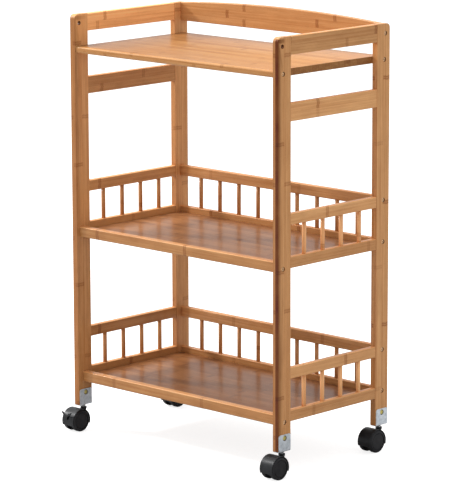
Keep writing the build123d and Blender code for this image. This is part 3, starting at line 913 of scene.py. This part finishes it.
def fasten(cad_node, shape, seed, metal):
    """Set a screw on each place of a CAD node of screws, its head on the side away from its post."""
    posts = [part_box(f"rear_{side}_post") for side in ("left", "right")]
    middles = [(low.x + high.x) / 2 for low, high in posts]
    points, facings = [], []
    for low, high in solids_of(cad_node):
        middle = min(middles, key=lambda x: abs(x - (low.x + high.x) / 2))
        inward = 1 if middle < 0 else -1
        long_screw = high.x - low.x > posts[0][1].x - posts[0][0].x
        positive = (low.x + high.x) / 2 > middle
        if long_screw:
            positive = inward < 0
        points.append((high.x if positive else low.x, (low.y + high.y) / 2, (low.z + high.z) / 2))
        facings.append(0.0 if positive else pi)
    mesh = bpy.data.meshes.new(cad_node)
    mesh.from_pydata(points, [], [])
    mesh.attributes.new("facing", "FLOAT", "POINT").data.foreach_set("value", facings)
    settings = {"Screw": shape, "Metal": metal, "Seed": seed}
    settings = {fastener_inputs[key]: value for key, value in settings.items()}
    group = grown(f"{cad_node}_finished", fasteners, settings, mesh)
    bpy.data.objects.remove(shape)
    mount(group, cad_node, metal)


low, high = screw_boxes[0]
socket_screw = screw_shape(
    "socket screw", SCREW_HEAD, SCREW_HEAD_DEEP, SCREW_SHANK, high.x - low.x, hexagon, 0.0016, SINK)
fasten("frame_screws", socket_screw, 5, bronze_steel)
low, high = bracket_screws[0]
cross_screw = screw_shape(
    "cross screw", BRACKET_HEAD, BRACKET_HEAD_DEEP, BRACKET_SHANK, high.x - low.x, cross, 0.001, BRACKET_SINK)
fasten("bracket_screws", cross_screw, 9, yellow_zinc)


# ---------------------------------------------------------------------------- caster brackets
# Each post stands in a U of zinc plated sheet, 1.5 mm thick and 31 mm wide, folded up on both sides
# of the wood. A screw near the top of each flange holds it, its head sunk in a plain round hole.
SHEET = 0.0015
SHEET_EDGE = 0.0003
SKIN = 0.0003  # a drill for the flange stands out of it by this
FLANGE_CORNER = 0.004
FOLD_STEPS = 5
CORNER_CUTS = 6
NEARBY = 0.01  # a screw this near a bracket is its own
zinc_sheet = plated("zinc sheet", srgb(234, 241, 248), srgb(200, 209, 217), 0.34, 0.54, 140.0)


def folded_bracket(name, low, high, holes):
    """The sheet as a strip up one side, across the foot and up the other, given its thickness."""
    middle_x = (low.x + high.x) / 2
    half = (high.x - low.x - SHEET) / 2  # to the middle of the sheet
    foot = low.z + SHEET / 2
    bend = SHEET
    path = []
    for step in range(FOLD_STEPS + 1):
        turn = pi / 2 * step / FOLD_STEPS
        path.append((half - bend + bend * cos(turn), foot + bend - bend * sin(turn)))
    corner = []
    for step in range(CORNER_CUTS, -1, -1):
        turn = pi / 2 * step / CORNER_CUTS
        corner.append((half, high.z - FLANGE_CORNER * (1 - sin(turn)), FLANGE_CORNER * (1 - cos(turn))))
    rows = corner + [(x, z, 0.0) for x, z in path]
    rows += [(-x, z, inset) for x, z, inset in reversed(rows)]
    bm = bmesh.new()
    lines = []
    for x, z, inset in rows:
        line = [bm.verts.new((middle_x + x, y, z)) for y in (low.y + inset, high.y - inset)]
        lines.append(line)
    for near, far in zip(lines, lines[1:]):
        bm.faces.new((near[0], near[1], far[1], far[0]))
    sheet = from_bmesh(name, bm)
    solid = sheet.modifiers.new("sheet", "SOLIDIFY")
    solid.thickness = SHEET
    solid.offset = 0.0
    edge = sheet.modifiers.new("rolled edge", "BEVEL")
    edge.width = SHEET_EDGE
    edge.segments = 2
    edge.limit_method = "ANGLE"
    edge.angle_limit = radians(50)
    settle(sheet)
    combine(sheet, "DIFFERENCE", *holes)
    return smooth(sheet)


for end in ("front", "rear"):
    for side in ("left", "right"):
        cad_node = f"{end}_{side}_bracket"
        low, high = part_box(cad_node)
        seats = []
        for box_low, box_high in bracket_screws:
            spot = (box_low + box_high) / 2
            if low.x - NEARBY < spot.x < high.x + NEARBY and low.y < spot.y < high.y:
                inward, face = (-1, high.x) if spot.x > (low.x + high.x) / 2 else (1, low.x)
                start, stop = sorted((-inward * SKIN, inward * 3 * SHEET))
                seats.append(moved(rod("seat", "xyz", start, stop, SEAT, 32), face, spot.y, spot.z))
        bracket = folded_bracket(f"{cad_node}_finished", low, high, seats)
        mount(bracket, cad_node, zinc_sheet)


# ---------------------------------------------------------------------------- swivel stems
# A bright plated pin with a collar is riveted through the foot of each bracket. The caster snaps on
# to it and turns about it.
STEM = 0.003
STEM_TIP = 0.0006  # chamfer at the lower end
COLLAR = 0.0056
bright_steel = plated("bright zinc steel", srgb(214, 216, 218), srgb(176, 179, 182), 0.16, 0.32)
stems = []
for low, high in solids_of("swivel_stems"):
    spot = (low + high) / 2
    collar_top = high.z - SHEET
    profile = [
        (low.z, 0), (low.z, STEM - STEM_TIP), (low.z + STEM_TIP, STEM), (collar_top - 0.0019, STEM),
        (collar_top - 0.0018, STEM + 0.0006), (collar_top - 0.0004, COLLAR - 0.0003), (collar_top, COLLAR),
        (collar_top, STEM), (high.z, STEM), (high.z, 0),
    ]
    stems.append(moved(lathe("swivel_stem", "zxy", profile), spot.x, spot.y, 0))
swivel_stems = stems[0]
combine(swivel_stems, "UNION", *stems[1:])
swivel_stems.name = "swivel_stems_finished"
smooth(swivel_stems)
mount(swivel_stems, "swivel_stems", bright_steel)


# ---------------------------------------------------------------------------- caster hoods
# A glass-filled nylon moulding covers the top of both wheels, with a web between them and a necked
# boss that takes the stem. On the braked casters a slot in its front lets the brake lever through.
HOOD_RIM = 0.0005
HOOD_WALL = 0.0014
HOOD_FRONT = radians(200)  # measured about the axle from straight back, over the top
HOOD_BACK = radians(-20)
HOOD_STEPS = 44
WEB_HALF = 0.0062
HUB = 0.017
NECK = 0.0052  # radius of the boss below its cap
CAP = 0.0062
CAP_ROUND = 0.0006
BOSS_FOOT = -0.004  # heights from the axle
BORE_FOOT = 0.0085
BORE_TOP = 0.05
STEM_ROOM = 0.0001
SLOT_ENDS = (-0.03, -0.0065)  # the slot for the brake lever, from the axle
SLOT_SIDES = (-0.0024, 0.0024)
SLOT_HEIGHTS = (0.0035, 0.0145)
SLOT_EASE = 0.0005


def nylon(name, light, dark, low_rough, high_rough, grain, sheen):
    """Black moulded nylon with a fine sparked texture and slow changes of gloss."""
    values = {"Light": light, "Dark": dark, "Glossiest": low_rough, "Dullest": high_rough}
    material, shader = finished(name, moulding, values, grain)
    shader.inputs["Specular IOR Level"].default_value = sheen
    return material


def moulding_group():
    """Sparked mould texture with slow changes of gloss, as colour, roughness and height."""
    tree, given, out = new_group(
        "Moulded nylon",
        {"Position": "Vector", "Light": "Color", "Dark": "Color", "Glossiest": "Float", "Dullest": "Float"},
        {"Colour": "Color", "Roughness": "Float", "Height": "Float"},
    )
    slow = clouds(tree, given["Position"], 70.0, 2.0)
    spark = clouds(tree, given["Position"], 2600.0, 2.0, 0.7)
    tree.links.new(tinted(tree, ramp(tree, slow, 0.35, 0.65), given["Dark"], given["Light"]), out["Colour"])
    mixed = calc(tree, "MULTIPLY_ADD", spark, 0.4, calc(tree, "MULTIPLY", slow, 0.6))
    rough = node(tree, "MapRange", {0: mixed, 1: 0.3, 2: 0.7, 3: given["Glossiest"], 4: given["Dullest"]})
    tree.links.new(rough.outputs[0], out["Roughness"])
    tree.links.new(spark, out["Height"])
    return tree


moulding = moulding_group()
hood_nylon = nylon("hood nylon", srgb(33, 35, 38), srgb(24, 26, 28), 0.34, 0.5, 0.3, 0.3)


def sector(name, inner, outer, half, start, stop):
    """A piece of a ring about the X axis, square in section."""
    bm = bmesh.new()
    rings = []
    for step in range(HOOD_STEPS + 1):
        turn = start + (stop - start) * step / HOOD_STEPS
        corners = ((-half, inner), (half, inner), (half, outer), (-half, outer))
        rings.append([bm.verts.new((x, r * cos(turn), r * sin(turn))) for x, r in corners])
    close_rings(bm, rings)
    return from_bmesh(name, bm)


def rounded(piece, width, segments=3, angle=50):
    """The piece with its sharp edges rounded."""
    edge = piece.modifiers.new("moulded edges", "BEVEL")
    edge.width = width
    edge.segments = segments
    edge.limit_method = "ANGLE"
    edge.angle_limit = radians(angle)
    return settle(piece)


for end in ("front", "rear"):
    for side in ("left", "right"):
        cad_node = f"{end}_{side}_hood"
        low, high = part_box(cad_node)
        axle_low, axle_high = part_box(f"{end}_{side}_axle")
        axle = (axle_low + axle_high) / 2
        stem_y = (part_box(f"{end}_{side}_bracket")[0].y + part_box(f"{end}_{side}_bracket")[1].y) / 2 - axle.y
        outer = axle.y - low.y
        half = (high.x - low.x) / 2
        top = high.z - axle.z
        cover = sector(f"{cad_node}_finished", outer - HOOD_WALL, outer, half, HOOD_BACK, HOOD_FRONT)
        hood = rounded(cover, HOOD_RIM)
        web = sector("web", HUB - 0.002, outer - HOOD_WALL / 2, WEB_HALF, HOOD_BACK, HOOD_FRONT)
        hub = rod("hub", "xyz", -WEB_HALF, WEB_HALF, HUB, 64)
        round_over = [(top - CAP_ROUND * (1 - sin(t)), CAP - CAP_ROUND * (1 - cos(t)))
                      for t in np.linspace(0, pi / 2, 4)]
        boss = moved(lathe("boss", "zxy", [
            (BOSS_FOOT, 0), (BOSS_FOOT, NECK), (top - 0.0052, NECK), (top - 0.0042, NECK + 0.0002),
            (top - 0.0036, CAP), *round_over, (top, 0)]), 0, stem_y, 0)
        combine(hood, "UNION", web, hub, boss)
        bore = moved(rod("bore", "zxy", BORE_FOOT, BORE_TOP, STEM + STEM_ROOM), 0, stem_y, 0)
        cuts = [bore]
        if side == "left":
            stations = [(y, SLOT_SIDES, SLOT_HEIGHTS) for y in SLOT_ENDS]
            cuts.append(bar("slot", "yxz", stations, (SLOT_EASE, SLOT_EASE)))
        combine(hood, "DIFFERENCE", *cuts)
        smooth(hood, radians(30))
        moved(hood, *axle)
        mount(hood, cad_node, hood_nylon, f"{end}_{side}_swivel")
        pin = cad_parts[f"{end}_{side}_axle"]
        pin.data.materials.clear()
        pin.data.materials.append(bright_steel)


# ---------------------------------------------------------------------------- wheels
# Two moulded wheels turn on the ends of each axle, outside the web. Each has a plain tread, a
# rounded rim, and a groove round a flat disc set a little back from the rim.
wheel_nylon = nylon("wheel nylon", srgb(32, 32, 35), srgb(24, 24, 27), 0.36, 0.52, 0.35, 0.3)
RIM_ROUND = 0.0036
RIM_FACE = 0.0046
DISC_SET = 0.0006
GROOVE_DEEP = 0.0016
for end in ("front", "rear"):
    for side in ("left", "right"):
        for wheel_side in ("left", "right"):
            cad_node = f"{end}_{side}_{wheel_side}_wheel"
            low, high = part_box(cad_node)
            centre = (low + high) / 2
            radius = (high.z - low.z) / 2
            half = (high.x - low.x) / 2
            turns = np.linspace(pi / 2, 0, 9)
            rim = [(half - RIM_ROUND * (1 - cos(t)), radius - RIM_ROUND * (1 - sin(t)))
                   for t in turns]
            profile = [
                (-half, 0), (-half, radius - 0.0008),
                (-half + 0.0003, radius - 0.0002), (-half + 0.0009, radius),
                *rim,
                (half - 0.0002, radius - RIM_FACE),
                (half - GROOVE_DEEP, radius - RIM_FACE - 0.0003),
                (half - GROOVE_DEEP, radius - RIM_FACE - 0.0009),
                (half - DISC_SET - 0.0003, radius - RIM_FACE - 0.0012),
                (half - DISC_SET, radius - RIM_FACE - 0.0016), (half - DISC_SET, 0.0055),
                (half - DISC_SET + 0.0002, 0.0050), (half - DISC_SET + 0.0002, 0),
            ]
            wheel = lathe(f"{cad_node}_finished", "xyz", profile, 72)
            if wheel_side == "left":
                mirrored(wheel)
            smooth(wheel)
            moved(wheel, *centre)
            mount(wheel, cad_node, wheel_nylon, f"{end}_{side}_{wheel_side}_roller")


# ---------------------------------------------------------------------------- brake levers
# The two left casters have a foot brake: a nylon lever on a pin inside the hood, whose arm comes
# out through the slot and ends in a winged pedal that is pressed down or lifted with the toe.
PEDAL_HALF_T = 0.0016
PEDAL_STEPS = 14
PEDAL_EDGE = 0.0006
WING = 0.0066  # rise of the pedal from its middle to its tips
ARM_HALF = 0.002
ARM_EASE = 0.0005
PIVOT_Y, PIVOT_Z = -0.0115, 0.009  # from the axle
PIVOT_EYE = 0.0034
PIN_HALF = 0.005
PIN = 0.0016
for end in ("front", "rear"):
    cad_node = f"{end}_left_brake_lever"
    low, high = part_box(cad_node)
    axle_low, axle_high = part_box(f"{end}_left_axle")
    axle = (axle_low + axle_high) / 2
    half = (high.x - low.x) / 2
    radius = (half**2 + WING**2) / (2 * WING)
    reach = atan2(half, radius - WING)
    foot = high.z - axle.z - WING
    bm = bmesh.new()
    rings = []
    for step in range(PEDAL_STEPS + 1):
        turn = -reach + 2 * reach * step / PEDAL_STEPS
        tip = abs(turn) / reach
        thick = PEDAL_HALF_T * (1 - 0.25 * tip**2)
        near, far = low.y - axle.y, low.y - axle.y + 0.0042 - 0.0012 * tip**2
        ring = []
        over, under = radius - thick, radius + thick
        for y, r in ((near, under), (far, under), (far, over), (near, over)):
            ring.append(bm.verts.new((r * sin(turn), y, foot + radius - r * cos(turn))))
        rings.append(ring)
    close_rings(bm, rings)
    pedal = rounded(from_bmesh(f"{cad_node}_finished", bm), PEDAL_EDGE, 3, 40)
    sides = (-ARM_HALF, ARM_HALF)
    stations = [
        (PIVOT_Y, sides, (PIVOT_Z - 0.0017, PIVOT_Z + 0.0017)),
        (low.y - axle.y + 0.002, sides, (foot - 0.0009, foot + 0.0014)),
    ]
    arm = bar("arm", "yxz", stations, (ARM_EASE, ARM_EASE))
    hub = rod("hub", "xyz", *sides, PIVOT_EYE, 32)
    pin = rod("pin", "xyz", -PIN_HALF, PIN_HALF, PIN, 24)
    for part in (hub, pin):
        moved(part, 0, PIVOT_Y, PIVOT_Z)
    combine(pedal, "UNION", arm, hub, pin)
    smooth(pedal)
    moved(pedal, *axle)
    mount(pedal, cad_node, hood_nylon, f"{end}_left_brake")


# ---------------------------------------------------------------------------- studio
# A pale floor, a white surround, one large soft light above and to the left of the cart, and a
# smaller and weaker one from the left and the front.
def lit_sweep(name, bounce, glow):
    """A pale matt sweep that glows for camera rays, so that shadows on it stay faint."""
    material = bpy.data.materials.new(name)
    material.use_nodes = True
    tree = material.node_tree
    shader = tree.nodes["Principled BSDF"]
    cloud = clouds(tree, node(tree, "TexCoord").outputs["Object"], 1.5, 2.0)
    shade = tinted(tree, cloud, (bounce * 0.98,) * 3 + (1.0,), (bounce,) * 3 + (1.0,))
    tree.links.new(shade, shader.inputs["Base Color"])
    shader.inputs["Roughness"].default_value = 0.9
    shader.inputs["Specular IOR Level"].default_value = 0.1
    shader.inputs["Emission Color"].default_value = (1.0, 1.0, 1.0, 1.0)
    seen = node(tree, "LightPath").outputs["Is Camera Ray"]
    tree.links.new(calc(tree, "MULTIPLY", seen, glow), shader.inputs["Emission Strength"])
    return material


FLOOR_HALF = 60.0
bm = bmesh.new()
corners = ((-1, -1), (1, -1), (1, 1), (-1, 1))
bm.faces.new([bm.verts.new((FLOOR_HALF * x, FLOOR_HALF * y, 0)) for x, y in corners])
floor = from_bmesh("studio_floor", bm)
floor.data.materials.append(lit_sweep("studio sweep", 0.5, 0.8))

world = bpy.data.worlds.new("studio")
bpy.context.scene.world = world
world.use_nodes = True
world.node_tree.nodes["Background"].inputs["Color"].default_value = (1.0, 1.0, 1.0, 1.0)
world.node_tree.nodes["Background"].inputs["Strength"].default_value = 0.84

AIM = Vector((0.00126, 0.01571, 0.36335))
for label, size, power, spot in (
    ("key", 1.8, 180.0, Vector((-1.6, 0.2, 4.6))),
    ("side_light", 0.4, 110.0, Vector((-3.4, -1.5, 2.7))),
):
    light = bpy.data.lights.new(label, "AREA")
    light.shape = "SQUARE"
    light.size = size
    light.energy = power
    lamp = bpy.data.objects.new(label, light)
    lamp.location = spot
    lamp.rotation_euler = (AIM - spot).to_track_quat("-Z", "Y").to_euler()
    bpy.context.scene.collection.objects.link(lamp)
bpy.context.scene.view_settings.view_transform = "Standard"

DISTANCE = 5.780
AZIMUTH = radians(43.74)
ELEVATION = radians(11.05)
ROLL = radians(-0.168)
LENS = 222.9
away = Vector((sin(AZIMUTH) * cos(ELEVATION), -cos(AZIMUTH) * cos(ELEVATION), sin(ELEVATION)))
camera = bpy.data.objects.new("camera", bpy.data.cameras.new("camera"))
camera.data.lens = LENS
camera.location = AIM + DISTANCE * away
camera.rotation_euler = (away.to_track_quat("Z", "Y").to_matrix() @ Matrix.Rotation(ROLL, 3, "Z")).to_euler()
bpy.context.scene.collection.objects.link(camera)
bpy.context.scene.camera = camera
